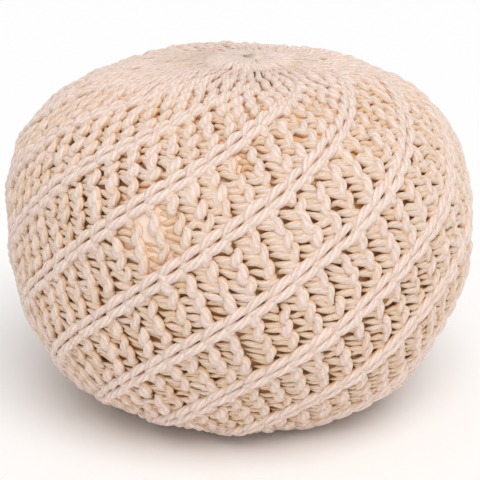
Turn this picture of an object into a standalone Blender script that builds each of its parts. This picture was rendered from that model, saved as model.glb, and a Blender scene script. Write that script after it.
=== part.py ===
"""Knitted floor pouf: one filled cotton cover, gathered at the top, with chain ribs that spiral down its sides.

Metres, +Z up. The origin is the middle of the flat base, and -Y is the front.
"""

import math

import bmesh
import bpy

# Driving sizes
WIDTH = 0.500
HEIGHT = 0.367
BASE_FLAT_RADIUS = 0.105
COURSE_HEIGHT = 0.0165
RIBS = 14
WALES_PER_RIB = 4

# The outline's reach from the middle of the pouf, as a share of half the width, from straight down to
# straight up. Angles are degrees above the horizontal.
OUTLINE = (
    # angle, reach
    (-90.0, 0.765),
    (-67.5, 0.831),
    (-45.0, 0.984),
    (-22.5, 1.006),
    (0.0, 1.000),
    (22.5, 1.000),
    (45.0, 0.897),
    (67.5, 0.755),
    (90.0, 0.714),
)
OUTLINE_STEPS = 24

# The gather at the top: the drawn stitches sink into a shallow dimple, a little right of the middle.
GATHER_RINGS = (0.004, 0.009)
GATHER_SHIFT = 0.011
GATHER_SHIFT_REACH = 0.160
DIMPLE_DEPTH = 0.006
DIMPLE_RADIUS = 0.030
PLEAT_DEPTH = 0.0016
PLEAT_REACH = 0.125

# The filling has settled to one side, low down.
SETTLE_SHIFT = -0.003
SETTLE_TOP = 0.200

# A rib's section: places are shares of the way to the next rib, raises are above the panels between.
RIB_SECTION = (
    # place, raise
    (0.000, 0.0042),
    (0.060, 0.0060),
    (0.135, 0.0044),
    (0.200, 0.0000),
    (0.500, 0.0008),
    (0.800, 0.0000),
    (0.865, 0.0044),
    (0.940, 0.0060),
)
FIRST_RIB_COURSE = 8
LAST_RIB_COURSE = 35
RIB_FADE_COURSES = 3

# How the columns of stitches lie, in degrees of turn. The knitting is slacker on one side.
WALE_LEAN = 1.56
FRONT_RIB_TURN = -79.2
FRONT_RIB_COURSE = 17.18
SLACK_SHARE = 0.20
SLACK_TURN = -20.0

MERGE = 0.00001
COTTON = (0.80, 0.62, 0.49, 1.0)
COTTON_ROUGHNESS = 0.9

RIB_RAISE = max(raised for _, raised in RIB_SECTION)
STATIONS_PER_RIB = len(RIB_SECTION)
WALE_TURN = 360.0 / (RIBS * WALES_PER_RIB)


def clear_scene():
    """Removes every object that the file opened with."""
    for old in list(bpy.data.objects):
        bpy.data.objects.remove(old, do_unlink=True)


def smooth_step(share):
    """Eases from 0 to 1 as the share goes from 0 to 1."""
    share = min(1.0, max(0.0, share))
    return share * share * (3.0 - 2.0 * share)


def outline_reach(angle):
    """The outline's reach at an angle, on a smooth curve through the table, level at both poles."""
    reaches = [reach for _, reach in OUTLINE]
    step = OUTLINE[1][0] - OUTLINE[0][0]
    place = (angle - OUTLINE[0][0]) / step
    first = min(int(place), len(reaches) - 2)
    share = place - first
    mirrored = [reaches[1], *reaches, reaches[-2]]
    before, start, end, after = mirrored[first : first + 4]
    leave, arrive = (end - before) / 2, (after - start) / 2
    cube, square = share**3, share**2
    return (
        (2 * cube - 3 * square + 1) * start
        + (cube - 2 * square + share) * leave
        + (3 * square - 2 * cube) * end
        + (cube - square) * arrive
    )


def dense_outline():
    """Points (radius, height) from the top pole to the edge of the flat base."""
    points = []
    steps = OUTLINE_STEPS * (len(OUTLINE) - 1)
    for step in range(steps + 1):
        angle = 90.0 - 180.0 * step / steps
        reach = outline_reach(angle)
        radius = reach * math.cos(math.radians(angle))
        points.append((max(0.0, radius), reach * math.sin(math.radians(angle))))
    low, high = points[-1][1], points[0][1]
    widest = max(radius for radius, _ in points)
    sized = [
        (radius / widest * WIDTH / 2, (height - low) / (high - low) * HEIGHT)
        for radius, height in points
    ]
    return [point for point in sized if point[1] > 0.0 and point[0] >= 0.0]


def along(points, distance):
    """The point (radius, height) this far along the outline from the top pole, and the outward normal there."""
    gone = 0.0
    for (r0, z0), (r1, z1) in zip(points, points[1:]):
        length = math.hypot(r1 - r0, z1 - z0)
        if gone + length >= distance or (r1, z1) == points[-1]:
            share = (distance - gone) / length
            place = (r0 + (r1 - r0) * share, z0 + (z1 - z0) * share)
            return place, ((z0 - z1) / length, (r1 - r0) / length)
        gone += length
    raise ValueError("the distance lies past the outline's end")


def base_edge_distance(points):
    """How far along the outline its lower side comes in to the flat base's radius."""
    gone = 0.0
    for (r0, z0), (r1, z1) in zip(points, points[1:]):
        if z1 < HEIGHT / 2 and r1 <= BASE_FLAT_RADIUS:
            return gone
        gone += math.dist((r0, z0), (r1, z1))
    return gone


def ring_distances(end):
    """Distances from the top pole of the rings of points: the gather's, then one for each course."""
    courses = int((end - COURSE_HEIGHT / 2) / COURSE_HEIGHT)
    rows = [course * COURSE_HEIGHT for course in range(1, courses + 1)]
    return [*GATHER_RINGS, *rows, end]


def make_rows():
    """The turned profile, top to base: (radius, height, normal, distance from the top pole) for each point."""
    points = dense_outline()
    end = base_edge_distance(points)
    rows = [(0.0, HEIGHT - DIMPLE_DEPTH, (0.0, 1.0), 0.0)]
    for distance in ring_distances(end):
        (radius, height), normal = along(points, distance)
        dimple = DIMPLE_DEPTH * (1.0 - smooth_step(radius / DIMPLE_RADIUS))
        rows.append((radius, max(0.0, height - dimple), normal, distance))
    radius, _, _, distance = rows[-1]
    rows[-1] = (radius, 0.0, (0.0, -1.0), distance)
    rows.append((0.0, 0.0, (0.0, -1.0), end + radius))
    return rows


def turned_mesh(rows):
    """The plain turned body, made by a Screw modifier from the profile."""
    edges = [(i, i + 1) for i in range(len(rows) - 1)]
    profile = bpy.data.meshes.new("pouf_profile")
    profile.from_pydata([(row[0], 0.0, row[1]) for row in rows], edges, [])
    spun = bpy.data.objects.new("pouf_profile", profile)
    bpy.context.scene.collection.objects.link(spun)
    screw = spun.modifiers.new("turn", "SCREW")
    screw.steps = screw.render_steps = RIBS * STATIONS_PER_RIB
    screw.use_merge_vertices = True
    screw.merge_threshold = MERGE
    graph = bpy.context.evaluated_depsgraph_get()
    mesh = bpy.data.meshes.new_from_object(spun.evaluated_get(graph))
    bpy.data.objects.remove(spun)
    bpy.data.meshes.remove(profile)
    mesh.name = "pouf"
    return mesh


def column_turn(course):
    """Degrees that the columns of points have turned by this course: with the wales, less the ribs' own travel."""
    travelled = min(max(course, FIRST_RIB_COURSE), LAST_RIB_COURSE) - FRONT_RIB_COURSE
    return WALE_LEAN * (course - FRONT_RIB_COURSE) - WALE_TURN * travelled


def slack_turn(turn):
    """Where a column stands once the slack side is stretched and the other side is drawn together, in degrees."""
    return turn + math.degrees(SLACK_SHARE * math.sin(math.radians(turn - SLACK_TURN)))


def rib_strength(course):
    """How much of its height a rib has at this course: it grows out of the gather and fades under the pouf."""
    rise = smooth_step((course - FIRST_RIB_COURSE) / RIB_FADE_COURSES)
    fall = smooth_step((LAST_RIB_COURSE - course) / RIB_FADE_COURSES)
    return rise * fall


def pleat_drop(distance, station):
    """How far the gather's radial pleats dip between the columns of stitches."""
    grow = smooth_step(distance / DIMPLE_RADIUS)
    fade = smooth_step((PLEAT_REACH - distance) / PLEAT_REACH * 2.0)
    return PLEAT_DEPTH * grow * fade * (station % 2)


def sideways(distance, height):
    """How far the knitting is drawn to the right near the gather, or has settled to the left low down."""
    drawn = GATHER_SHIFT * (1.0 - smooth_step(distance / GATHER_SHIFT_REACH))
    return drawn + SETTLE_SHIFT * smooth_step((SETTLE_TOP - height) / SETTLE_TOP * 2.0)


def raise_knitting(mesh, rows):
    """Turns each ring of points with the spiral, and sinks the panels between the ribs and the pleats."""
    stations = RIBS * STATIONS_PER_RIB
    for vertex in mesh.vertices:
        radius = math.hypot(vertex.co.x, vertex.co.y)
        row = min(rows, key=lambda item: math.dist(item[:2], (radius, vertex.co.z)))
        _, height, normal, distance = row
        if row[0] == 0.0:
            vertex.co.x += sideways(distance, height)
            continue
        turned = math.degrees(math.atan2(vertex.co.y, vertex.co.x)) % 360.0
        column = round(turned / 360.0 * stations) % stations
        rib, station = divmod(column, STATIONS_PER_RIB)
        place, raised = RIB_SECTION[station]
        course = distance / COURSE_HEIGHT
        strength = rib_strength(course)
        share = station / STATIONS_PER_RIB + (place - station / STATIONS_PER_RIB) * strength
        turn = slack_turn(FRONT_RIB_TURN + (rib + share) * 360.0 / RIBS + column_turn(course))
        sunk = (RIB_RAISE - raised) * strength + pleat_drop(distance, station)
        if height == 0.0:
            sunk = 0.0
        radius -= normal[0] * sunk
        angle = math.radians(turn)
        across = radius * math.cos(angle) + sideways(distance, height)
        vertex.co = (across, radius * math.sin(angle), height - normal[1] * sunk)


def split_faces(mesh):
    """Splits each face along its shorter diagonal, so that the edges follow the ribs."""
    shape = bmesh.new()
    shape.from_mesh(mesh)
    bmesh.ops.triangulate(shape, faces=shape.faces, quad_method="SHORT_EDGE")
    shape.to_mesh(mesh)
    shape.free()


def centre_on_base(mesh):
    """Moves the body so that its box stands centred on the origin."""
    for axis in (0, 1):
        values = [vertex.co[axis] for vertex in mesh.vertices]
        middle = (min(values) + max(values)) / 2
        for vertex in mesh.vertices:
            vertex.co[axis] -= middle


def cotton_material():
    """Undyed cotton cord."""
    material = bpy.data.materials.new("cotton_cord")
    material.use_nodes = True
    shader = material.node_tree.nodes["Principled BSDF"]
    shader.inputs["Base Color"].default_value = COTTON
    shader.inputs["Roughness"].default_value = COTTON_ROUGHNESS
    shader.inputs["Metallic"].default_value = 0.0
    return material


def make_pouf():
    """The filled cover as one solid."""
    collection = bpy.data.collections.new("knitted_pouf")
    bpy.context.scene.collection.children.link(collection)
    rows = make_rows()
    mesh = turned_mesh(rows)
    raise_knitting(mesh, rows)
    split_faces(mesh)
    centre_on_base(mesh)
    mesh.materials.append(cotton_material())
    mesh.shade_smooth()
    pouf = bpy.data.objects.new("pouf", mesh)
    collection.objects.link(pouf)
    return pouf


clear_scene()
make_pouf()
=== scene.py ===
"""Dresses the knitted floor pouf: its inner cloth, its panels and chain ribs of cotton cord, and its gathers.

Metres, +Z up, in the frame's own axes. The front, which the camera sees, is towards -Y.
"""

import logging
import math
from dataclasses import dataclass, field
from enum import Enum

import bpy
import numpy as np
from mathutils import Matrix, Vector


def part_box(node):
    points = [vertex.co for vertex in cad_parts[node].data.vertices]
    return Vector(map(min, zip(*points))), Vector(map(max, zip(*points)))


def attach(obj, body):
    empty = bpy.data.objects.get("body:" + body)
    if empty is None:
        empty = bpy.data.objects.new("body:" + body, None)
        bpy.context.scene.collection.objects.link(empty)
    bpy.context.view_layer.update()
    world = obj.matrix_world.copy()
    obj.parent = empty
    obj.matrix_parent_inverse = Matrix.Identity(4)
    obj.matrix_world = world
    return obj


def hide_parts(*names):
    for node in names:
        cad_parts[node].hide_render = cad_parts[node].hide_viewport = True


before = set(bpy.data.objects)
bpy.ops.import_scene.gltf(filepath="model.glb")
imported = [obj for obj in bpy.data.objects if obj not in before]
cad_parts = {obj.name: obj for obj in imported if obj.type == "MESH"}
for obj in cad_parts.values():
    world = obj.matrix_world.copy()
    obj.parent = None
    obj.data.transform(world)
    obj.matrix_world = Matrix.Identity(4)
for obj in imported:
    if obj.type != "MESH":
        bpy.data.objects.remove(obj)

LOG = logging.getLogger("knitted_pouf")
NODE = "pouf"
BODY = "root"
MM = 0.001
FLOOR_GAP = 0.3 * MM

# An amount, and its unevenness from one length of cord to the next
Spread = tuple[float, float]

# Where an easing starts, and how far it goes on
Ramp = tuple[float, float]

# Red, green, blue and alpha, each from 0 to 1
Colour = tuple[float, float, float, float]


class Part(Enum):
    """The kinds of cord length that the cover is knitted from."""

    LEG = "leg"
    BAR = "bar"
    CHAIN = "chain"
    GATHER = "gather"


def smooth_step(share: np.ndarray) -> np.ndarray:
    """Eases from 0 to 1 as the share goes from 0 to 1.

    Args:
        share: Any numbers; those past 0 and 1 are held there.

    Returns:
        The eased numbers.
    """
    share = np.clip(share, 0.0, 1.0)
    return share * share * (3.0 - 2.0 * share)


def ramp(value: np.ndarray, over: Ramp) -> np.ndarray:
    """Eases from 0 to 1 as a value passes over a ramp.

    Args:
        value: Any numbers.
        over: The value where the ramp starts, and the ramp's length.

    Returns:
        The eased numbers.
    """
    start, length = over
    return smooth_step((value - start) / length)


def deselect_all() -> None:
    """Deselects every object, so that the next operator acts on its own piece alone."""
    for thing in bpy.context.selected_objects:
        thing.select_set(False)


def make_active(piece: bpy.types.Object) -> None:
    """Selects one piece alone and makes it active.

    Args:
        piece: The object that the next operator works on.
    """
    deselect_all()
    piece.select_set(True)
    bpy.context.view_layer.objects.active = piece


@dataclass
class PoufForm:
    """The pouf's turned outline, and the lattice of courses and wales that its stitches sit on.

    A course is a row of stitches round the pouf, counted from the top. A wale is a column of stitches.
    Rises are measured along the outward normal, from the outline. Each roll of the uneven filling has a
    number of waves round the pouf, a slant in radians a metre down, and a start in radians.
    """

    low: Vector
    high: Vector
    reaches: tuple[float, ...] = (0.765, 0.831, 0.984, 1.006, 1.000, 1.000, 0.897, 0.755, 0.714)
    base_flat_radius: float = 0.105
    course_height: float = 0.0165
    ribs: int = 14
    wales_per_rib: int = 4
    wale_lean: float = 1.56
    front_rib_turn: float = -79.2
    front_rib_course: float = 17.18
    slack_share: float = 0.20
    slack_turn: float = -20.0
    gather_shift: float = 0.014
    gather_shift_reach: float = 0.160
    settle_shift: float = -0.003
    settle_top: float = 0.200
    dimple_depth: float = 0.006
    dimple_radius: float = 0.030
    swell: float = 0.0016
    rolls: tuple[tuple[float, float, float], ...] = ((3.0, 19.0, 0.0), (5.0, -31.0, 1.7))
    calm_reach: float = 0.12
    left_ramp: Ramp = (0.15, 0.45)
    steps: int = 1440
    wales: int = field(init=False)
    wale_turn: float = field(init=False)
    base_course: float = field(init=False)

    def __post_init__(self) -> None:
        """Works out the outline as arrays against the distance from the top pole."""
        self.wales = self.ribs * self.wales_per_rib
        self.wale_turn = 360.0 / self.wales
        angle = np.linspace(90.0, -90.0, self.steps + 1)
        reach = self._reach(angle)
        radius = reach * np.cos(np.radians(angle))
        height = reach * np.sin(np.radians(angle))
        half_width = (self.high.x - self.low.x) / 2
        tall = self.high.z - self.low.z
        radius = radius / radius.max() * half_width
        height = self.low.z + (height - height[-1]) / (height[0] - height[-1]) * tall
        lower = np.arange(self.steps + 1) > self.steps // 2
        last = int(np.argmax(lower & (radius <= self.base_flat_radius)))
        radius = np.append(radius[: last + 1], 0.0)
        height = np.append(height[: last + 1], self.low.z)
        height[-2] = self.low.z
        steps = np.hypot(np.diff(radius), np.diff(height))
        self._distance = np.concatenate([[0.0], np.cumsum(steps)])
        self._radius = np.clip(radius, 0.0, None)
        self._height = height
        across = np.gradient(radius, self._distance)
        down = np.gradient(height, self._distance)
        length = np.hypot(across, down)
        self._out = -down / length
        self._up = across / length
        self.base_course = self._distance[-2] / self.course_height

    def _reach(self, angle: np.ndarray) -> np.ndarray:
        """The outline's reach from the middle of the pouf, as a share of half its width.

        Args:
            angle: Degrees above the horizontal.

        Returns:
            The reach on a smooth curve through the table, level at both poles.
        """
        table = np.array([self.reaches[1], *self.reaches, self.reaches[-2]])
        place = (angle + 90.0) / (180.0 / (len(self.reaches) - 1))
        first = np.clip(place.astype(int), 0, len(self.reaches) - 2)
        share = place - first
        before, start, end, after = (table[first + step] for step in range(4))
        leave, arrive = (end - before) / 2, (after - start) / 2
        cube, square = share**3, share**2
        return (
            (2 * cube - 3 * square + 1) * start
            + (cube - 2 * square + share) * leave
            + (3 * square - 2 * cube) * end
            + (cube - square) * arrive
        )

    def turn(self, course: np.ndarray, wale: np.ndarray) -> np.ndarray:
        """Degrees round the pouf of places on the lattice, with the slack side stretched.

        Args:
            course: Courses down from the top.
            wale: Wales round from the front rib, at that course.

        Returns:
            Turns in degrees, where -90 is the front.
        """
        lean = self.wale_lean * (course - self.front_rib_course)
        even = self.front_rib_turn + wale * self.wale_turn + lean
        slack = np.degrees(self.slack_share * np.sin(np.radians(even - self.slack_turn)))
        return even + slack

    def waves(self, angle: np.ndarray, distance: np.ndarray) -> np.ndarray:
        """How far the uneven filling pushes the cover out.

        Args:
            angle: Angles round the pouf, in radians.
            distance: Metres from the top pole, along the outline.

        Returns:
            Metres outward, fading away at the gathers.
        """
        waves = [np.sin(times * angle + slant * distance + start) for times, slant, start in self.rolls]
        left = self.base_course * self.course_height - distance
        calm = smooth_step(distance / self.calm_reach) * smooth_step(left / self.calm_reach)
        return self.swell * sum(waves) * calm

    def leftness(self, angle: np.ndarray) -> np.ndarray:
        """How far to the left of the front view angles round the pouf come, from 0 to 1."""
        return ramp(-np.cos(angle), self.left_ramp)

    def distance(self, height: np.ndarray) -> np.ndarray:
        """How far along the outline from the top pole these heights come, in metres."""
        return np.interp(-height, -self._height, self._distance)

    def radius(self, course: np.ndarray) -> np.ndarray:
        """The outline's radius at these courses, in metres."""
        return np.interp(course * self.course_height, self._distance, self._radius)

    def pitch(self, course: np.ndarray, wale: np.ndarray) -> np.ndarray:
        """The width of one wale here, in metres.

        Args:
            course: Courses down from the top.
            wale: Wales round from the front rib.

        Returns:
            The distance from this wale to the next one, along the course.
        """
        step = 0.5
        turned = self.turn(course, wale + step) - self.turn(course, wale - step)
        return np.radians(turned) * self.radius(course)

    def place(
        self, course: np.ndarray, wale: np.ndarray, rise: np.ndarray
    ) -> tuple[np.ndarray, np.ndarray]:
        """Points over the lattice, and the outward normals there.

        Args:
            course: Courses down from the top.
            wale: Wales round from the front rib.
            rise: Metres above the outline.

        Returns:
            Two arrays with a last axis of x, y and z.
        """
        distance = np.abs(course) * self.course_height
        radius = np.interp(distance, self._distance, self._radius)
        height = np.interp(distance, self._distance, self._height)
        out = np.interp(distance, self._distance, self._out)
        up = np.interp(distance, self._distance, self._up)
        angle = np.radians(self.turn(course, wale))
        lift = rise + self.waves(angle, distance)
        dimple = self.dimple_depth * (1.0 - smooth_step(radius / self.dimple_radius))
        dimple = dimple * (height > (self.low.z + self.high.z) / 2)
        drawn = self.gather_shift * (1.0 - smooth_step(distance / self.gather_shift_reach))
        settled = smooth_step((self.settle_top - height) / self.settle_top * 2.0)
        reach = radius + out * lift
        points = np.stack(
            [
                reach * np.cos(angle) + drawn + self.settle_shift * settled,
                reach * np.sin(angle),
                height + up * lift - dimple,
            ],
            axis=-1,
        )
        normals = np.stack([out * np.cos(angle), out * np.sin(angle), up], axis=-1)
        return points, normals


@dataclass
class CordRuns:
    """Many like lengths of cord on the lattice.

    Each array has a row for each length and a column for each point. Widths and thicknesses are half sizes
    in metres, along the cloth and out of it.
    """

    course: np.ndarray
    wale: np.ndarray
    rise: np.ndarray
    width: np.ndarray
    thickness: np.ndarray

    def picked(self, rows: np.ndarray) -> "CordRuns":
        """The runs of some rows alone.

        Args:
            rows: A mask or indices of rows.

        Returns:
            New runs with those rows.
        """
        return CordRuns(
            self.course[rows], self.wale[rows], self.rise[rows], self.width[rows], self.thickness[rows]
        )


def joined(parts: list[CordRuns]) -> CordRuns:
    """Joins batches of runs of the same kind into one.

    Args:
        parts: The batches.

    Returns:
        One batch with all the rows.
    """
    columns = zip(*(vars(part).values() for part in parts))
    return CordRuns(*(np.concatenate(column) for column in columns))


@dataclass
class CordLength:
    """One rounded length of cord, modelled once, that is copied along many runs."""

    sides: int
    rings: int
    spindle: float

    def __post_init__(self) -> None:
        """Models the length as a ball drawn out into a spindle, and reads its points from end to end.

        The ball's points may be numbered in another way at each run, so they are put in order here.
        """
        deselect_all()
        bpy.ops.mesh.primitive_uv_sphere_add(segments=self.sides, ring_count=self.rings, radius=1.0)
        ball = bpy.context.active_object
        bpy.ops.object.mode_set(mode="EDIT")
        bpy.ops.mesh.select_all(action="SELECT")
        bpy.ops.mesh.normals_make_consistent(inside=False)
        bpy.ops.object.mode_set(mode="OBJECT")
        points = np.array([vertex.co for vertex in ball.data.vertices])
        latitude = np.arcsin(np.clip(points[:, 2], -1.0, 1.0))
        station = np.rint((latitude / math.pi + 0.5) * self.rings).astype(int)
        angle = np.arctan2(points[:, 1], points[:, 0])
        order = np.lexsort((angle, station))
        self.stations = np.linspace(0.0, 1.0, self.rings + 1)
        self.station = station[order]
        self.angle = angle[order]
        self.girth = np.clip(np.cos(latitude[order]), 0.0, 1.0) ** self.spindle
        number = np.argsort(order)
        self.faces = sorted(number[list(face.vertices)].tolist() for face in ball.data.polygons)
        bpy.data.objects.remove(ball, do_unlink=True)

    def copies(self, runs: CordRuns, form: PoufForm) -> tuple[np.ndarray, np.ndarray, np.ndarray]:
        """Copies of the length, bent along runs.

        Args:
            runs: The runs, sampled at this length's own stations.
            form: The pouf that they lie on.

        Returns:
            Points, strand coordinates (around the cord and along it) and depths, one row for each run.
        """
        line, normal = form.place(runs.course, runs.wale, runs.rise)
        along = np.gradient(line, axis=1)
        along /= np.linalg.norm(along, axis=-1, keepdims=True)
        side = np.cross(normal, along)
        side /= np.linalg.norm(side, axis=-1, keepdims=True)
        up = np.cross(along, side)
        steps = np.linalg.norm(np.diff(line, axis=1), axis=-1)
        length = np.concatenate([np.zeros((len(line), 1)), np.cumsum(steps, axis=1)], axis=1)
        pick = self.station
        wide = (runs.width[:, pick] * self.girth * np.cos(self.angle))[..., None]
        tall = (runs.thickness[:, pick] * self.girth * np.sin(self.angle))[..., None]
        points = line[:, pick] + side[:, pick] * wide + up[:, pick] * tall
        points[..., 2] = np.maximum(points[..., 2], form.low.z + FLOOR_GAP)
        around = np.broadcast_to(self.angle, points.shape[:2])
        strand = np.stack([np.cos(around), np.sin(around), length[:, pick] / MM], axis=-1)
        depth = runs.rise[:, pick] + tall[..., 0]
        return points, strand, depth


class Value:
    """A shader socket that carries a number, with arithmetic that adds Math nodes."""

    def __init__(self, graph: "Graph", socket: bpy.types.NodeSocket) -> None:
        """Wraps a socket of a graph."""
        self.graph = graph
        self.socket = socket

    def _math(self, operation: str, first: object, second: object = 0.0) -> "Value":
        """Adds one Math node on two values or numbers."""
        node = self.graph.node("ShaderNodeMath", {"operation": operation}, {0: first, 1: second})
        return Value(self.graph, node.outputs[0])

    def __add__(self, other: object) -> "Value":
        """The sum."""
        return self._math("ADD", self, other)

    def __radd__(self, other: object) -> "Value":
        """The sum, from the right."""
        return self._math("ADD", other, self)

    def __sub__(self, other: object) -> "Value":
        """The difference."""
        return self._math("SUBTRACT", self, other)

    def __rsub__(self, other: object) -> "Value":
        """The difference, from the right."""
        return self._math("SUBTRACT", other, self)

    def __mul__(self, other: object) -> "Value":
        """The product."""
        return self._math("MULTIPLY", self, other)

    def __rmul__(self, other: object) -> "Value":
        """The product, from the right."""
        return self._math("MULTIPLY", other, self)

    def sine(self) -> "Value":
        """The sine of an angle in radians."""
        return self._math("SINE", self)

    def arc(self, across: "Value") -> "Value":
        """The angle whose sine is this value and whose cosine is another."""
        return self._math("ARCTAN2", self, across)

    def clamped(self) -> "Value":
        """The value held between 0 and 1."""
        node = self.graph.node("ShaderNodeClamp", {}, {"Value": self})
        return Value(self.graph, node.outputs[0])


class Graph:
    """A material's node tree, with its Principled shader."""

    def __init__(self, name: str) -> None:
        """Makes a new material with one Principled shader.

        Args:
            name: The material's name.
        """
        self.material = bpy.data.materials.new(name)
        self.material.use_nodes = True
        self.tree = self.material.node_tree
        self.shader = self.tree.nodes["Principled BSDF"]

    def node(self, kind: str, settings: dict[str, object], sockets: dict[object, object]) -> bpy.types.Node:
        """Adds a node.

        Args:
            kind: The node's type name.
            settings: Its properties, set first.
            sockets: Its inputs by name or number, each a number, a tuple, a Value or a socket.

        Returns:
            The new node.
        """
        made = self.tree.nodes.new(kind)
        for key, setting in settings.items():
            setattr(made, key, setting)
        for key, given in sockets.items():
            self.feed(made.inputs[key], given)
        return made

    def feed(self, target: bpy.types.NodeSocket, given: object) -> None:
        """Links a value or a socket to an input, or sets it.

        Args:
            target: The input.
            given: A Value, a socket, a number or a tuple.
        """
        if isinstance(given, Value):
            given = given.socket
        if isinstance(given, bpy.types.NodeSocket):
            self.tree.links.new(given, target)
        else:
            target.default_value = given

    def attribute(self, name: str) -> bpy.types.Node:
        """An Attribute node that reads a piece's own attribute."""
        return self.node("ShaderNodeAttribute", {"attribute_name": name}, {})

    def mix(self, share: object, first: object, second: object) -> bpy.types.NodeSocket:
        """Mixes two colours.

        Args:
            share: How much of the second colour.
            first: A colour or its socket.
            second: A colour or its socket.

        Returns:
            The mixed colour's socket.
        """
        made = self.node("ShaderNodeMix", {"data_type": "RGBA"}, {0: share, 6: first, 7: second})
        return made.outputs[2]

    def noise(self, place: object, scale: float, detail: float, roughness: float = 0.5) -> Value:
        """Adds a Noise Texture.

        Args:
            place: The vector that it is read at.
            scale: How fine it is.
            detail: How many finer layers it has.
            roughness: How strong the finer layers are.

        Returns:
            The noise, from 0 to 1.
        """
        sockets = {"Vector": place, "Scale": scale, "Detail": detail, "Roughness": roughness}
        return Value(self, self.node("ShaderNodeTexNoise", {}, sockets).outputs["Fac"])

    def scaled(self, depth: Value, low: float, high: float) -> Value:
        """Where a depth lies between two others, from 0 at the lower one to 1 at the higher one."""
        return ((depth - low) * (1.0 / (high - low))).clamped()

    def bump(self, height: Value, strength: float, distance: float) -> None:
        """Feeds a bump to the shader's normal.

        Args:
            height: The relief, from 0 to about 1.
            strength: How strong the bump is.
            distance: How deep the relief is, in metres.
        """
        sockets = {"Strength": strength, "Distance": distance, "Height": height}
        made = self.node("ShaderNodeBump", {}, sockets)
        self.feed(self.shader.inputs["Normal"], made.outputs[0])


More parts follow.
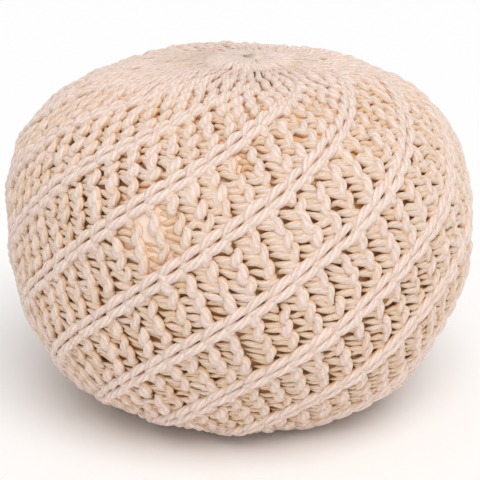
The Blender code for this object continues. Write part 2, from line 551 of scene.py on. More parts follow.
@dataclass(frozen=True)
class CottonFinish:
    """Matt undyed cotton cord: softly twisted plies and fine fibres, with painted shade, tan, where it lies
    low, under each cord and in its ply grooves, and a painted highlight, paler, on its proudest tops.

    The rises are in millimetres from the outline. Between them the colour goes from tan painted shade, to a
    lighter tan painted shade, to the cord's own pale colour and then to the painted highlight.
    """

    # Painted shade: tan where the cord lies low and under each cord; the fibres' random mottling also darkens
    # towards it
    shade_and_mottle_tan: Colour = (0.830, 0.445, 0.170, 1.0)
    # Painted shade: a lighter tan where the cord lies half low, as on the bars
    painted_mid_shade: Colour = (0.915, 0.680, 0.485, 1.0)
    proud: Colour = (0.925, 0.780, 0.690, 1.0)
    rosy: Colour = (0.930, 0.757, 0.695, 1.0)
    # Painted highlight: paler on the proudest tops of the cords
    painted_highlight: Colour = (0.990, 0.832, 0.772, 1.0)
    # Painted shade in the ply grooves
    groove_shade_colour: Colour = (0.780, 0.500, 0.305, 1.0)
    # Rises in millimetres where the painted shade fades out and the painted highlight comes in
    deep_rise: float = -8.6
    middle_rise: float = -5.1
    proud_rise: float = -2.2
    crown_rise: float = 1.6
    plies: int = 5
    ply_twist: float = 0.55
    ply_start: float = 40.0
    ply_waver: float = 5.0
    ply_relief: float = 0.75
    groove_shade: float = 0.48
    # Painted shade under each cord, on the side that faces in towards the cloth
    flank_edge: float = 0.30
    flank_slope: float = 1.1
    flank_shade: float = 0.98
    fibre_start: float = 57.0
    fibre_scale: float = 3.0
    fibre_stretch: float = 0.14
    fibre_detail: float = 4.0
    fibre_roughness: float = 0.65
    fibre_shade: float = 2.30
    fibre_relief: float = 0.8
    roughness: float = 0.88
    sheen: float = 0.25
    shine: float = 0.2
    bump_strength: float = 0.8
    bump_depth: float = 0.0012

    def material(self) -> bpy.types.Material:
        """Builds the material.

        Returns:
            The material, which reads the strand, stitch and depth attributes of a piece.
        """
        graph = Graph("cotton_cord_twisted")
        strand = graph.attribute("strand").outputs["Vector"]
        parts = graph.node("ShaderNodeSeparateXYZ", {}, {0: strand})
        across, outward, along = (Value(graph, output) for output in parts.outputs)
        stitch = Value(graph, graph.attribute("stitch").outputs["Fac"])
        fibre = self._fibre(graph, strand, stitch)
        turned = outward.arc(across) * self.plies + along * self.ply_twist
        twist = turned + stitch * self.ply_start + fibre * self.ply_waver
        ply = twist.sine() * 0.5 + 0.5
        # Painted shade in the ply grooves: thin dark twisted stripes
        groove = 1.0 - ply
        painted_groove_shade = (groove * groove * groove * self.groove_shade).clamped()
        groove_shaded = graph.mix(painted_groove_shade, self._colour_with_painted_shade(graph, stitch), self.groove_shade_colour)
        # Painted shade under each cord
        painted_underside_shade = ((self.flank_edge - outward) * self.flank_slope).clamped()
        # The fibres' random mottling plus the painted shade under each cord, both mixed towards the tan
        shade = (fibre - 0.5) * self.fibre_shade + painted_underside_shade * self.flank_shade
        graph.feed(graph.shader.inputs["Base Color"], graph.mix(shade.clamped(), groove_shaded, self.shade_and_mottle_tan))
        graph.feed(graph.shader.inputs["Roughness"], self.roughness)
        graph.feed(graph.shader.inputs["Sheen Weight"], self.sheen)
        graph.feed(graph.shader.inputs["Specular IOR Level"], self.shine)
        graph.bump(ply * self.ply_relief + fibre * self.fibre_relief, self.bump_strength, self.bump_depth)
        return graph.material

    def _fibre(self, graph: Graph, strand: bpy.types.NodeSocket, stitch: Value) -> Value:
        """Fibres drawn out along the cord, which differ from stitch to stitch.

        Args:
            graph: The material's graph.
            strand: The place around the cord and along it.
            stitch: The stitch's own random number.

        Returns:
            The fibres, from 0 to 1.
        """
        squeeze = (1.0, 1.0, self.fibre_stretch)
        stretched = graph.node("ShaderNodeVectorMath", {"operation": "MULTIPLY"}, {0: strand, 1: squeeze})
        sockets = {0: stretched.outputs[0], 1: stitch * self.fibre_start}
        moved = graph.node("ShaderNodeVectorMath", {"operation": "ADD"}, sockets)
        return graph.noise(moved.outputs[0], self.fibre_scale, self.fibre_detail, self.fibre_roughness)

    def _colour_with_painted_shade(self, graph: Graph, stitch: Value) -> bpy.types.NodeSocket:
        """The cord's colour by how low it lies: tan painted shade in the gaps, up to its own pale colour
        and a painted highlight on the ribs.

        Args:
            graph: The material's graph.
            stitch: The stitch's own random number, which makes some stitches rosier.

        Returns:
            The colour's socket.
        """
        depth = Value(graph, graph.attribute("depth").outputs["Fac"])
        # Painted shade: tan from the lowest rise up to the middle rise, then a lighter tan up to the proud
        # rise
        lower = graph.scaled(depth, self.deep_rise, self.middle_rise)
        upper = graph.scaled(depth, self.middle_rise, self.proud_rise)
        # Painted highlight on the proudest tops of the cords
        highlight_share = graph.scaled(depth, self.proud_rise, self.crown_rise)
        surface = graph.mix(highlight_share, graph.mix(stitch, self.proud, self.rosy), self.painted_highlight)
        return graph.mix(lower, self.shade_and_mottle_tan, graph.mix(upper, self.painted_mid_shade, surface))


@dataclass(frozen=True)
class LiningFinish:
    """The inner cloth: pale, with tan painted shade between the stitches, except at a pale spot where they
    are slack.
    """

    # Painted shade: tan where the cloth lies under the stitches; pale is the cloth's own colour
    painted_shade_tan: Colour = (0.860, 0.520, 0.270, 1.0)
    pale: Colour = (0.930, 0.780, 0.690, 1.0)
    weave_scale: float = 900.0
    patch_scale: float = 30.0
    detail: float = 2.0
    mottling: float = 0.45
    pale_mottling: float = 0.15
    roughness: float = 0.95
    bump_strength: float = 0.4
    bump_depth: float = 0.0004

    def material(self) -> bpy.types.Material:
        """Builds the material.

        Returns:
            The material, which reads the paleness attribute of a piece.
        """
        graph = Graph("inner_cloth")
        paleness = Value(graph, graph.attribute("paleness").outputs["Fac"])
        place = graph.node("ShaderNodeTexCoord", {}, {}).outputs["Object"]
        patches = graph.noise(place, self.patch_scale, self.detail)
        mottling = patches * (self.mottling - (self.mottling - self.pale_mottling) * paleness)
        # Painted shade, tan, everywhere but the pale spots; the patches mottle it at random
        colour = graph.mix(mottling, graph.mix(paleness, self.painted_shade_tan, self.pale), self.painted_shade_tan)
        graph.feed(graph.shader.inputs["Base Color"], colour)
        graph.feed(graph.shader.inputs["Roughness"], self.roughness)
        graph.bump(graph.noise(place, self.weave_scale, self.detail), self.bump_strength, self.bump_depth)
        return graph.material


@dataclass(frozen=True)
class FloorFinish:
    """A plain pale matt floor."""

    colour: Colour = (0.98, 0.98, 0.98, 1.0)
    roughness: float = 0.9

    def material(self) -> bpy.types.Material:
        """Builds the material.

        Returns:
            The material.
        """
        graph = Graph("pale_floor")
        graph.feed(graph.shader.inputs["Base Color"], self.colour)
        graph.feed(graph.shader.inputs["Roughness"], self.roughness)
        return graph.material


@dataclass(frozen=True)
class SlackPlace:
    """A place where the stitches have been pulled loose, so that the inner cloth shows pale.

    Its middle and reach are in courses and wales, its amount goes from 0 to 1, and its bulge is in metres.
    """

    course: float
    wale: float
    courses: float
    wales: float
    amount: float
    bulge: float


# The last one is the middle of the top gather, where the cloth shows but no stitch is slack
SLACK_PLACES = (
    SlackPlace(course=17.9, wale=-3.2, courses=3.2, wales=1.5, amount=1.0, bulge=0.006),
    SlackPlace(course=12.8, wale=0.85, courses=2.0, wales=1.0, amount=0.7, bulge=0.001),
    SlackPlace(course=0.0, wale=0.0, courses=1.2, wales=1.0, amount=0.0, bulge=0.011),
)


@dataclass
class InnerCloth:
    """The filled inner cloth that the cover is drawn over."""

    form: PoufForm
    slack: tuple[SlackPlace, ...]
    inset: float = 0.0060
    merge: float = 0.01 * MM
    evening: int = 10
    evening_factor: float = 0.8
    snug: float = 0.0032
    snug_from: Ramp = (0.12, 0.12)
    snug_until: Ramp = (0.24, 0.15)
    left_ease: float = 0.7
    pale_core: float = 0.2
    fill: float = 0.85

    def build(self, finish: LiningFinish) -> bpy.types.Object:
        """Copies the solid, draws it in below the cover and dresses it.

        Args:
            finish: The cloth's finish.

        Returns:
            The finished piece.
        """
        source = bpy.data.objects[NODE]
        piece = source.copy()
        piece.data = source.data.copy()
        piece.name = "inner_cloth"
        bpy.context.scene.collection.objects.link(piece)
        make_active(piece)
        bpy.ops.object.mode_set(mode="EDIT")
        bpy.ops.mesh.select_all(action="SELECT")
        bpy.ops.mesh.remove_doubles(threshold=self.merge)
        bpy.ops.mesh.normals_make_consistent(inside=False)
        bpy.ops.object.mode_set(mode="OBJECT")
        even_out = piece.modifiers.new("even_out", "SMOOTH")
        even_out.factor = self.evening_factor
        even_out.iterations = self.evening
        bpy.ops.object.modifier_apply(modifier=even_out.name)
        draw_in = piece.modifiers.new("draw_in", "DISPLACE")
        draw_in.mid_level = 0.0
        draw_in.strength = -self.inset
        bpy.ops.object.modifier_apply(modifier=draw_in.name)
        piece.data.materials.clear()
        piece.data.materials.append(finish.material())
        piece.data.shade_smooth()
        self._push_out(piece)
        return piece

    def _push_out(self, piece: bpy.types.Object) -> None:
        """Gives the cloth the cover's waves, draws it up under the panels and lets it bulge at slack places.

        Args:
            piece: The inner cloth.
        """
        points = np.array([vertex.co for vertex in piece.data.vertices])
        normals = np.array([vertex.normal for vertex in piece.data.vertices])
        angle = np.arctan2(points[:, 1], points[:, 0])
        down = self.form.distance(points[:, 2])
        snug = ramp(down, self.snug_from) * (1.0 - ramp(down, self.snug_until))
        snug = snug * (1.0 - self.left_ease * self.form.leftness(angle))
        out = self.form.waves(angle, down) + self.snug * snug
        paleness = np.zeros(len(points))
        for spot in self.slack:
            centre, _ = self.form.place(
                np.array([spot.course]), np.array([spot.wale]), np.array([-self.inset])
            )
            reach = spot.courses * self.form.course_height
            away = np.linalg.norm(points - centre[0], axis=1)
            share = 1.0 - smooth_step(away / reach - self.pale_core)
            paleness = np.maximum(paleness, share)
            out = out + share * spot.bulge
        points += normals * out[:, None]
        piece.data.vertices.foreach_set("co", points.ravel())
        piece.data.update()
        mark = piece.data.attributes.new("paleness", "FLOAT", "POINT")
        mark.data.foreach_set("value", paleness)


@dataclass(frozen=True)
class LegShape:
    """The proud legs that wind down each column of a panel. Lengths are in millimetres.

    Reaches are shares of a row. Flat is for the legs near the gather, and loose for those in a slack place.
    """

    radius: float = 5.0
    rise: Spread = (-6.0, 0.6)
    full_pitch: float = 20.0
    least_tight: float = 0.35
    room: float = 0.41
    least_room: float = 0.3
    reach: Spread = (0.73, 0.05)
    flat_reach: float = 0.20
    wind: Spread = (8.4, 1.6)
    unwind: Spread = (8.8, 2.0)
    lean: float = 0.3
    lower_lean: float = 0.7
    lower_ramp: Ramp = (16.0, 8.0)
    across_uneven: float = 1.5
    down_uneven: float = 1.1
    tuck: float = 2.8
    flat_tuck: float = 1.0
    flat_lift: float = 2.0
    girth: Spread = (1.07, 0.11)
    loose_slim: float = 0.06
    plump: float = 0.97
    swell: float = 0.12
    lump: float = 0.10
    lump_turns: float = 3.0
    lump_uneven: float = 1.5
    wide: float = 1.05
    thick: float = 0.95


@dataclass(frozen=True)
class BarShape:
    """The recessed bars, two to each leg, that reach to the next column or to the rib.

    Lengths are in millimetres. Last is for the bars that reach to the rib, and loose for those in a slack
    place. Upper, lower and left are for those parts of the pouf, where the bars start thinner.
    """

    radius: float = 3.9
    rise: Spread = (-7.9, 0.7)
    offsets: tuple[float, float] = (-4.1, 3.1)
    full_pitch: float = 22.0
    least_tight: float = 0.35
    room_pitch: float = 9.0
    least_room: float = 0.5
    start: float = 1.8
    short: float = 1.0
    last_reach: float = 1.02
    last_girth: float = 1.10
    last_calm: float = 0.4
    fan_out: float = 1.20
    fan_in: float = 0.42
    arch: Spread = (2.2, 0.8)
    arch_lead: float = 0.8
    loose_arch: float = 2.0
    slope: float = 2.7
    slope_uneven: float = 1.7
    slope_middle: float = 0.4
    wave: float = 1.5
    wave_start: float = 1.0
    down_uneven: float = 0.9
    bow_out: float = 1.2
    ripple: float = 0.8
    ripple_start: float = 0.6
    loose_drop: float = 3.6
    flat_drop: float = 1.2
    upper_drop: float = 1.1
    girth: Spread = (1.0, 0.08)
    loose_slim: float = 0.25
    upper_ramp: Ramp = (10.0, 4.0)
    lower_ramp: Ramp = (18.5, 6.0)
    left_thin: float = 0.85
    upper_thin: float = 0.75
    neck: float = 0.58
    thin_neck: float = 0.20
    neck_ramp: Ramp = (0.0, 0.58)
    shoulder: float = 1.14
    tip: float = 0.18
    tip_ramp: Ramp = (0.80, 0.20)
    thin_slim: float = 0.22
    thick: float = 0.90


@dataclass(frozen=True)
class ChainStrand:
    """One loop of a rib's V: its start and end along the rib, how far it parts from the middle, and its lift.

    Lengths are in millimetres. A loop starts under the ones before it, lies on top and dips at its end.
    """

    start: float
    end: float
    near: float
    far: float
    lift: float


@dataclass(frozen=True)
class ChainShape:
    """The chain ribs, two overlapping strands of long loops. Lengths are in millimetres."""

    radius: float = 4.5
    rise: Spread = (-3.6, 0.35)
    strands: tuple[ChainStrand, ChainStrand] = (
        ChainStrand(start=-36.0, end=8.0, near=-0.4, far=-4.0, lift=0.4),
        ChainStrand(start=-33.0, end=9.5, near=0.5, far=4.4, lift=0.0),
    )
    full_pitch: float = 24.0
    least_tight: float = 0.4
    room_pitch: float = 13.0
    least_room: float = 0.5
    full_step: float = 28.2
    along_uneven: float = 0.8
    open_share: float = 0.6
    closing: float = 0.2
    closing_ramp: Ramp = (0.6, 0.4)
    spread_uneven: float = 0.4
    start_dip: float = 3.4
    start_ramp: Ramp = (0.0, 0.38)
    end_dip: float = 4.4
    end_ramp: Ramp = (0.66, 0.34)
    swell_drop: float = 1.5
    swell_ramp: Ramp = (7.0, 3.0)
    girth: Spread = (1.0, 0.06)
    wide: float = 1.04
    thick: float = 0.98


@dataclass(frozen=True)
class GatherShape:
    """The long drawn strands of a gather, with every other one under its neighbours.

    Lengths are in millimetres. The turn's unevenness and the sway are shares of the way to the next strand.
    """

    turn_uneven: float = 0.12
    stagger: float = 0.05
    start_uneven: float = 0.010
    end_uneven: float = 0.25
    sway: float = 0.15
    fullness: float = 1.20
    narrowest: float = 2.6
    widest: float = 5.6
    width_uneven: float = 0.10
    tip_flatness: float = 0.36
    rounding: float = 0.30
    sink: float = 0.6
    rise_uneven: float = 0.3
    under_drop: float = 1.3
    end_drop: float = 2.5
    end_ramp: Ramp = (0.7, 0.3)
    tip_lift: float = 1.2
    tip_ramp: Ramp = (0.0, 0.12)
    fill_dimple: float = 0.85
    dimple_ramp: Ramp = (0.0, 0.5)


@dataclass
class KnittedCover:
    """The knitted cover: panels of legs and bars, chain ribs, and the gathers at the top and under the base.

    Between two ribs, each row has four legs with a pair of bars after each, and each rib has one V a row.
    Rows and places are in courses and wales.
    """

    form: PoufForm
    slack: tuple[SlackPlace, ...]
    seed: int = 11
    row_height: float = 0.867
    leg_row: float = 20.60
    rib_row: float = 21.24
    rib_line: float = 17.0
    first_leg_place: float = 0.32
    fanned_leg_place: float = 0.5
    leg_spacing: float = 0.875
    legs_per_row: int = 4
    first_course: float = 2.4
    first_bar_course: float = 3.6
    first_rib_course: float = 5.2
    last_rib_course: float = 36.0
    last_course: float = 38.0
    fan_ramp: Ramp = (4.2, 2.5)
    flat_ramp: Ramp = (6.0, 4.0)
    top_strands: int = 60
    top_overlap: float = 0.9
    base_strands: int = 44
    base_overlap: float = 0.4
    base_hole: float = 0.35
    panel_groups: int = 4
    most_uneven: float = 2.5
    leg: LegShape = LegShape()
    bar: BarShape = BarShape()
    chain: ChainShape = ChainShape()
    gather: GatherShape = GatherShape()
    lengths: dict[Part, CordLength] = field(init=False)

    def __post_init__(self) -> None:
        """Models each kind of cord length once and seeds the unevenness of the hand knitting."""
        self.random = np.random.default_rng(self.seed)
        self.lengths = {
            Part.LEG: CordLength(sides=8, rings=12, spindle=0.18),
            Part.BAR: CordLength(sides=6, rings=7, spindle=0.30),
            Part.CHAIN: CordLength(sides=8, rings=12, spindle=0.26),
            Part.GATHER: CordLength(sides=8, rings=14, spindle=0.30),
        }

    def _uneven(self, count: int, amount: float) -> np.ndarray:
        """Random offsets, one for each length of cord.

        Args:
            count: How many lengths.
            amount: Their spread.

        Returns:
            A column of offsets, held within two and a half spreads.
        """
        spread = np.clip(self.random.standard_normal((count, 1)), -self.most_uneven, self.most_uneven)
        return spread * amount

    def _drawn(self, count: int, given: Spread) -> np.ndarray:
        """An amount for each length of cord.

        Args:
            count: How many lengths.
            given: The amount and its unevenness.

        Returns:
            A column of amounts.
        """
        amount, uneven = given
        return amount + self._uneven(count, uneven)

    def _slackness(self, course: np.ndarray, wale: np.ndarray) -> np.ndarray:
        """How slack the knitting is, from 0 to 1.

        Args:
            course: Courses of stitches.
            wale: Wales of stitches.

        Returns:
            The slackness at each.
        """
        most = np.zeros(np.broadcast(course, wale).shape)
        half = self.form.wales / 2
        for spot in self.slack:
            across = (wale - spot.wale + half) % self.form.wales - half
            away = np.hypot((course - spot.course) / spot.courses, across / spot.wales)
            most = np.maximum(most, spot.amount * (1.0 - smooth_step(away)))
        return most

    def _flatness(self, course: np.ndarray) -> np.ndarray:
        """How flat the stitches are drawn: from 1 near the gather to 0 in the panels."""
        return 1.0 - ramp(course, self.flat_ramp)

    def _fan(self, course: np.ndarray) -> np.ndarray:
        """How evenly the columns fan out above the ribs' tops: from 1 at the gather to 0 in the panels."""
        return 1.0 - ramp(course, self.fan_ramp)

    def _rows(self, anchor: float, first: float, last: float) -> np.ndarray:
        """The courses of the rows between two limits.

        Args:
            anchor: The course of one row.
            first: The upper limit.
            last: The lower limit.

        Returns:
            The courses of all the rows there.
        """
        above = math.floor((anchor - first) / self.row_height)
        below = math.floor((last - anchor) / self.row_height)
        return anchor + np.arange(-above, below + 1) * self.row_height

    def _leg_places(self, first: float) -> tuple[np.ndarray, np.ndarray, np.ndarray]:
        """Where the legs of the panels lie.

        Args:
            first: The course that they start at.

        Returns:
            Columns of courses, wales, and numbers of the legs between two ribs.
        """
        rows = self._rows(self.leg_row, first, self.last_course)
        course, rib, number = np.meshgrid(
            rows, np.arange(self.form.ribs), np.arange(self.legs_per_row), indexing="ij"
        )
        wale = self.rib_line + rib * self.form.wales_per_rib - course
        fan = self._fan(course)
        wale = wale + self.first_leg_place * (1.0 - fan) + self.fanned_leg_place * fan
        wale = wale + number * (self.leg_spacing + (1.0 - self.leg_spacing) * fan)
        return course.reshape(-1, 1), wale.reshape(-1, 1), number.reshape(-1, 1)

    def _runs(
        self,
        course: np.ndarray,
        wale: np.ndarray,
        across: np.ndarray,
        down: np.ndarray,
        rise: np.ndarray,
        width: np.ndarray,
        thickness: np.ndarray,
    ) -> CordRuns:
        """Runs from offsets in millimetres from lattice places, along the leaning wales.

        Args:
            course: The stitch's course.
            wale: The stitch's place round the pouf, in wales.
            across: Millimetres to the right along the course.
            down: Millimetres down.
            rise: Millimetres above the outline.
            width: Half width in millimetres.
            thickness: Half thickness in millimetres.

        Returns:
            The runs.
        """
        courses = course + down * MM / self.form.course_height
        wales = wale + across / np.maximum(self._pitch(courses, wale), 1.0)
        metres = (given * MM for given in (rise, width, thickness))
        return CordRuns(courses, *(np.broadcast_to(given, courses.shape) for given in (wales, *metres)))

    def _pitch(self, course: np.ndarray, wale: np.ndarray) -> np.ndarray:
        """The width of one wale at these places, in millimetres."""
        return self.form.pitch(course, wale) / MM

    def leg_runs(self) -> CordRuns:
        """The panels' proud legs, which wind down each column of stitches.

        Returns:
            The legs' runs, row by row from the top.
        """
        leg = self.leg
        course, wale, _ = self._leg_places(self.first_course)
        count = len(course)
        share = self.lengths[Part.LEG].stations[None, :]
        turn = 2.0 * share - 1.0
        pitch = self._pitch(course, wale) * self.leg_spacing
        loose = self._slackness(course, wale)
        flat = self._flatness(course)
        tight = np.clip(pitch / leg.full_pitch, leg.least_tight, 1.0)
        room = np.clip(leg.room * pitch / leg.radius, leg.least_room, 1.0)
        row = self.form.course_height / MM * self.row_height
        half_reach = row * (self._drawn(count, leg.reach) + leg.flat_reach * flat)
        wind = self._drawn(count, leg.wind) * turn - self._drawn(count, leg.unwind) * turn**3
        lean = (leg.lean + leg.lower_lean * ramp(course, leg.lower_ramp)) * turn
        across = (lean - wind) * tight + self._uneven(count, leg.across_uneven) * (tight + loose)
        down = half_reach * turn + self._uneven(count, leg.down_uneven) * (1.0 + loose)
        tuck = (leg.tuck + (leg.flat_tuck - leg.tuck) * flat) * np.abs(turn) ** 3
        rise = self._drawn(count, leg.rise) - tuck + leg.flat_lift * flat
        girth = leg.radius * room * self._drawn(count, leg.girth) * (1.0 - leg.loose_slim * loose)
        lump = leg.lump * np.sin(leg.lump_turns * turn + self._uneven(count, leg.lump_uneven))
        plump = leg.plump + leg.swell * turn + lump
        return self._runs(course, wale, across, down, rise, girth * plump * leg.wide, girth * leg.thick)

    def bar_runs(self) -> CordRuns:
        """The panels' recessed bars, two to each leg, which reach to the next column or to the rib."""
        return joined([self._bars(offset) for offset in self.bar.offsets])

    def _bars(self, offset: float) -> CordRuns:
        """One of the two bars of every leg.

        Args:
            offset: How far down from the middle of the leg the bar starts, in millimetres.

        Returns:
            The bars' runs.
        """
        bar = self.bar
        share = self.lengths[Part.BAR].stations[None, :]
        course, wale, number = self._leg_places(self.first_bar_course)
        count = len(course)
        pitch = self._pitch(course, wale + 0.5)
        loose = self._slackness(course, wale + 0.5)
        tight = np.clip(pitch / bar.full_pitch, bar.least_tight, 1.0)
        last = number == self.legs_per_row - 1
        calm = np.where(last, bar.last_calm, 1.0)
        reach = pitch * np.where(last, bar.last_reach, self.leg_spacing) - bar.short
        across = bar.start * tight + reach * share
        arch = (self._drawn(count, bar.arch) * calm + bar.loose_arch * loose) * tight
        arch = arch * np.sin(math.pi * share**bar.arch_lead)
        slope = (bar.slope + self._uneven(count, bar.slope_uneven) * calm) * tight
        slope = slope * (share - bar.slope_middle)
        wave = self._uneven(count, bar.wave)
        wave = wave * np.sin(2.0 * math.pi * share + self._uneven(count, bar.wave_start))
        fanned = offset * (bar.fan_out - bar.fan_in * share)
        down = fanned + slope - arch + wave + self._uneven(count, bar.down_uneven) * calm
        bow = bar.bow_out * np.sin(math.pi * share)
        ripple = bar.ripple * np.sin(2.0 * math.pi * share - bar.ripple_start) ** 2
        upper = 1.0 - ramp(course, bar.upper_ramp)
        drop = bar.loose_drop * loose + bar.flat_drop * self._flatness(course) + bar.upper_drop * upper
        rise = self._drawn(count, bar.rise) + bow + ripple - drop
        room = np.clip(pitch / bar.room_pitch, bar.least_room, 1.0) * np.where(last, bar.last_girth, 1.0)
        girth = room * self._drawn(count, bar.girth) * (1.0 - bar.loose_slim * loose)
        size = bar.radius * girth * self._bar_taper(course, wale, upper, share)
        return self._runs(course, wale, across, down, rise, size, size * bar.thick)

    def _bar_taper(
        self, course: np.ndarray, wale: np.ndarray, upper: np.ndarray, share: np.ndarray
    ) -> np.ndarray:
        """How thick a bar is along its length, as a share of its girth: it comes thin out of its leg.

        Args:
            course: The bars' courses.
            wale: The bars' wales.
            upper: How high on the pouf the bars are, from 0 to 1.
            share: How far along the bar each point is.

        Returns:
            The shares, a row for each bar.
        """
        bar = self.bar
        left = self.form.leftness(np.radians(self.form.turn(course, wale)))
        thin = np.maximum(ramp(course, bar.lower_ramp), bar.left_thin * left)
        thin = np.maximum(thin, bar.upper_thin * upper)
        neck = bar.neck - bar.thin_neck * thin
        taper = neck + (bar.shoulder - neck) * ramp(share, bar.neck_ramp)
        return (taper - bar.tip * ramp(share, bar.tip_ramp)) * (1.0 - bar.thin_slim * thin)

    def chain_runs(self) -> CordRuns:
        """The ribs' chains: in each row two long loops part in a V, over the loops of the rows before."""
        return joined([self._chain(strand) for strand in self.chain.strands])

    def _chain(self, strand: ChainStrand) -> CordRuns:
        """One strand of loops of every rib.

        Args:
            strand: Where its loops lie.

        Returns:
            The loops' runs.
        """
        chain = self.chain
        share = self.lengths[Part.CHAIN].stations[None, :]
        rows = self._rows(self.rib_row, self.first_rib_course, self.last_rib_course)
        course, rib = np.meshgrid(rows, np.arange(self.form.ribs), indexing="ij")
        course, rib = course.reshape(-1, 1), rib.reshape(-1, 1)
        wale = self.rib_line + rib * self.form.wales_per_rib - course
        count = len(course)
        pitch = self._pitch(course, wale)
        tight = np.clip(pitch / chain.full_pitch, chain.least_tight, 1.0)
        row = self.form.course_height / MM
        step = np.hypot(pitch, row)
        stretch = step * self.row_height / chain.full_step
        along = (strand.start + (strand.end - strand.start) * share) * stretch
        along = along + self._uneven(count, chain.along_uneven)
        opened = np.sin(math.pi / 2.0 * np.clip(share / chain.open_share, 0.0, 1.0))
        opened = opened - chain.closing * ramp(share, chain.closing_ramp)
        spread = (strand.near + (strand.far - strand.near) * opened) * tight
        spread = spread + self._uneven(count, chain.spread_uneven)
        across = (along * pitch - spread * row) / step
        down = -(along * row + spread * pitch) / step
        dip = chain.start_dip * (1.0 - ramp(share, chain.start_ramp))
        dip = dip + chain.end_dip * ramp(share, chain.end_ramp)
        drop = chain.swell_drop * (1.0 - ramp(course, chain.swell_ramp))
        rise = self._drawn(count, chain.rise) + strand.lift - dip - drop
        girth = chain.radius * np.clip(pitch / chain.room_pitch, chain.least_room, 1.0)
        girth = girth * self._drawn(count, chain.girth)
        return self._runs(course, wale, across, down, rise, girth * chain.wide, girth * chain.thick)

    def gather_runs(self, strands: int, inner: float, outer: float) -> CordRuns:
        """Long drawn strands that run in to the middle of a gather.

        Args:
            strands: How many strands there are.
            inner: The course where they meet.
            outer: The course where they reach the stitches.

        Returns:
            The runs.
        """
        gather = self.gather
        share = self.lengths[Part.GATHER].stations[None, :]
        step = self.form.wales / strands
        number = np.arange(strands)[:, None]
        under = number % 2
        wale = (number + 0.5) * step + self._uneven(strands, gather.turn_uneven * step)
        stagger = (1 - under) * gather.stagger + np.abs(self._uneven(strands, gather.start_uneven))
        start = inner + (outer - inner) * stagger
        course = start + (outer + self._uneven(strands, gather.end_uneven) - start) * share
        pitch = self._pitch(course, wale) * step
        sway = self._uneven(strands, gather.sway * step) * np.sin(math.pi * share)
        width = np.clip(pitch * gather.fullness, gather.narrowest, gather.widest)
        width = width * (1.0 + self._uneven(strands, gather.width_uneven))
        thickness = width * (gather.tip_flatness + gather.rounding * share)
        rise = self._uneven(strands, gather.rise_uneven) - gather.under_drop * under
        rise = rise - gather.sink * thickness - gather.end_drop * ramp(share, gather.end_ramp)
        rise = rise + gather.tip_lift * under * (1.0 - ramp(share, gather.tip_ramp))
        filled = gather.fill_dimple * self.form.dimple_depth * (1.0 - ramp(share, gather.dimple_ramp))
        return CordRuns(course, wale + sway, rise * MM + filled, width * MM, thickness * MM)

    def _piece(
        self, name: str, batches: list[tuple[Part, CordRuns]], finish: bpy.types.Material
    ) -> bpy.types.Object:
        """Joins copies of cord lengths into one piece.

        Args:
            name: The piece's name.
            batches: Kinds of cord length, each with the runs that it is copied along.
            finish: The cord's material.

        Returns:
            The finished piece.
        """
        points, strands, depths, stitches, faces = [], [], [], [], []
        start = 0
        for part, runs in batches:
            length = self.lengths[part]
            placed, strand, depth = length.copies(runs, self.form)
            count, size = placed.shape[:2]
            points.append(placed.reshape(-1, 3))
            strands.append(strand.reshape(-1, 3))
            depths.append(depth.reshape(-1) / MM)
            stitches.append(np.repeat(self.random.random(count), size))
            for copy in range(count):
                first = start + copy * size
                faces.extend([corner + first for corner in face] for face in length.faces)
            start += count * size
        mesh = bpy.data.meshes.new(name)
        mesh.from_pydata(np.concatenate(points).tolist(), [], faces)
        strand_mark = mesh.attributes.new("strand", "FLOAT_VECTOR", "POINT")
        strand_mark.data.foreach_set("vector", np.concatenate(strands).ravel())
        for mark, values in (("depth", depths), ("stitch", stitches)):
            mesh.attributes.new(mark, "FLOAT", "POINT").data.foreach_set("value", np.concatenate(values))
        mesh.materials.append(finish)
        mesh.shade_smooth()
        piece = bpy.data.objects.new(name, mesh)
        bpy.context.scene.collection.objects.link(piece)
        return piece

    def build(self, finish: CottonFinish) -> list[bpy.types.Object]:
        """Knits the whole cover.

        Args:
            finish: The cord's finish.

        Returns:
            The finished pieces.
        """
        material = finish.material()
        legs, bars, chains = self.leg_runs(), self.bar_runs(), self.chain_runs()
        pieces = [self._piece("chain_ribs", [(Part.CHAIN, chains)], material)]
        for group in range(self.panel_groups):
            picked = []
            for part, runs in ((Part.LEG, legs), (Part.BAR, bars)):
                wales = runs.wale[:, 0] % self.form.wales
                rows = np.floor(wales / self.form.wales * self.panel_groups) == group
                picked.append((part, runs.picked(rows)))
            pieces.append(self._piece(f"panel_stitches_{group + 1}", picked, material))
        base_middle = self.form.base_course + self.form.base_flat_radius / self.form.course_height
        top = self.gather_runs(self.top_strands, 0.0, self.first_course + self.top_overlap)
        under = self.gather_runs(
            self.base_strands, base_middle - self.base_hole, self.last_course - self.base_overlap
        )
        pieces.append(self._piece("top_gather", [(Part.GATHER, top)], material))
        pieces.append(self._piece("base_gather", [(Part.GATHER, under)], material))
        return pieces


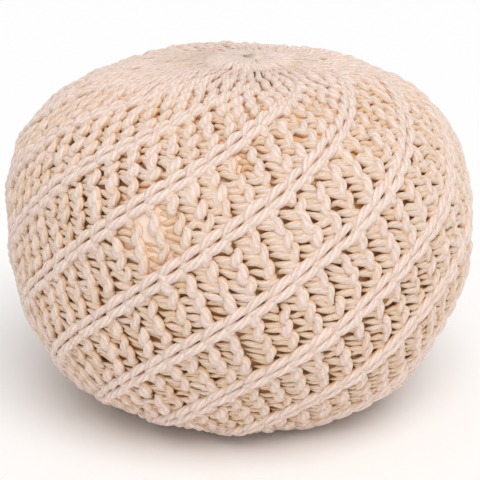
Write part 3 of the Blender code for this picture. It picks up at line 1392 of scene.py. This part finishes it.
@dataclass
class Studio:
    """A plain pale floor, soft light and the camera at the photo's angle."""

    middle_height: float = 0.191
    camera_distance: float = 1.375
    elevation: float = 18.25
    focal_pixels: float = 1264.5
    image_pixels: float = 480.0
    middle_row: float = 215.6
    sensor: float = 36.0
    floor_size: float = 30.0
    key_power: float = 1.65
    key_spread: float = 45.0
    key_direction: tuple[float, float, float] = (0.28, -0.78, 1.38)
    surround: float = 0.575
    surround_colour: Colour = (1.0, 1.0, 1.0, 1.0)

    def camera(self) -> None:
        """Adds the camera, tilted so that the pouf stands where the photo has it."""
        data = bpy.data.cameras.new("camera")
        data.sensor_width = self.sensor
        data.lens = self.focal_pixels / self.image_pixels * self.sensor
        camera = bpy.data.objects.new("camera", data)
        angle = math.radians(self.elevation)
        tilt = math.atan((self.image_pixels / 2 - self.middle_row) / self.focal_pixels)
        camera.location = (
            0.0,
            -self.camera_distance * math.cos(angle),
            self.middle_height + self.camera_distance * math.sin(angle),
        )
        camera.rotation_euler = (math.radians(90.0) - angle - tilt, 0.0, 0.0)
        bpy.context.scene.collection.objects.link(camera)
        bpy.context.scene.camera = camera

    def floor(self, finish: FloorFinish) -> None:
        """Adds the floor.

        Args:
            finish: The floor's finish.
        """
        deselect_all()
        bpy.ops.mesh.primitive_plane_add(size=self.floor_size)
        floor = bpy.context.active_object
        floor.name = "floor"
        floor.data.materials.append(finish.material())

    def lights(self) -> None:
        """Adds one broad light from above, in front and to the right, and a white surround."""
        data = bpy.data.lights.new("key_light", "SUN")
        data.energy = self.key_power
        data.angle = math.radians(self.key_spread)
        lamp = bpy.data.objects.new("key_light", data)
        lamp.rotation_euler = Vector(self.key_direction).to_track_quat("Z", "Y").to_euler()
        bpy.context.scene.collection.objects.link(lamp)
        world = bpy.data.worlds.new("surround")
        world.use_nodes = True
        backdrop = world.node_tree.nodes["Background"]
        backdrop.inputs["Color"].default_value = self.surround_colour
        backdrop.inputs["Strength"].default_value = self.surround
        bpy.context.scene.world = world
        bpy.context.scene.view_settings.view_transform = "Standard"


def declare(piece: bpy.types.Object) -> None:
    """Says that a piece rides on the pouf and stands for its solid.

    Args:
        piece: The finished piece.
    """
    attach(piece, BODY)
    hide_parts(NODE)
    LOG.info("%s: %d faces", piece.name, len(piece.data.polygons))


def main() -> None:
    """Builds the pouf's visible pieces, the stage and the camera."""
    logging.basicConfig(level=logging.INFO, format="%(message)s")
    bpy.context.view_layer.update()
    low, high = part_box(NODE)
    form = PoufForm(Vector(low), Vector(high))
    studio = Studio()
    studio.camera()
    cloth = InnerCloth(form, SLACK_PLACES)
    lining = cloth.build(LiningFinish())
    declare(lining)
    for piece in KnittedCover(form, SLACK_PLACES).build(CottonFinish()):
        declare(piece)
    studio.floor(FloorFinish())
    studio.lights()


if __name__ == "__main__":
    main()
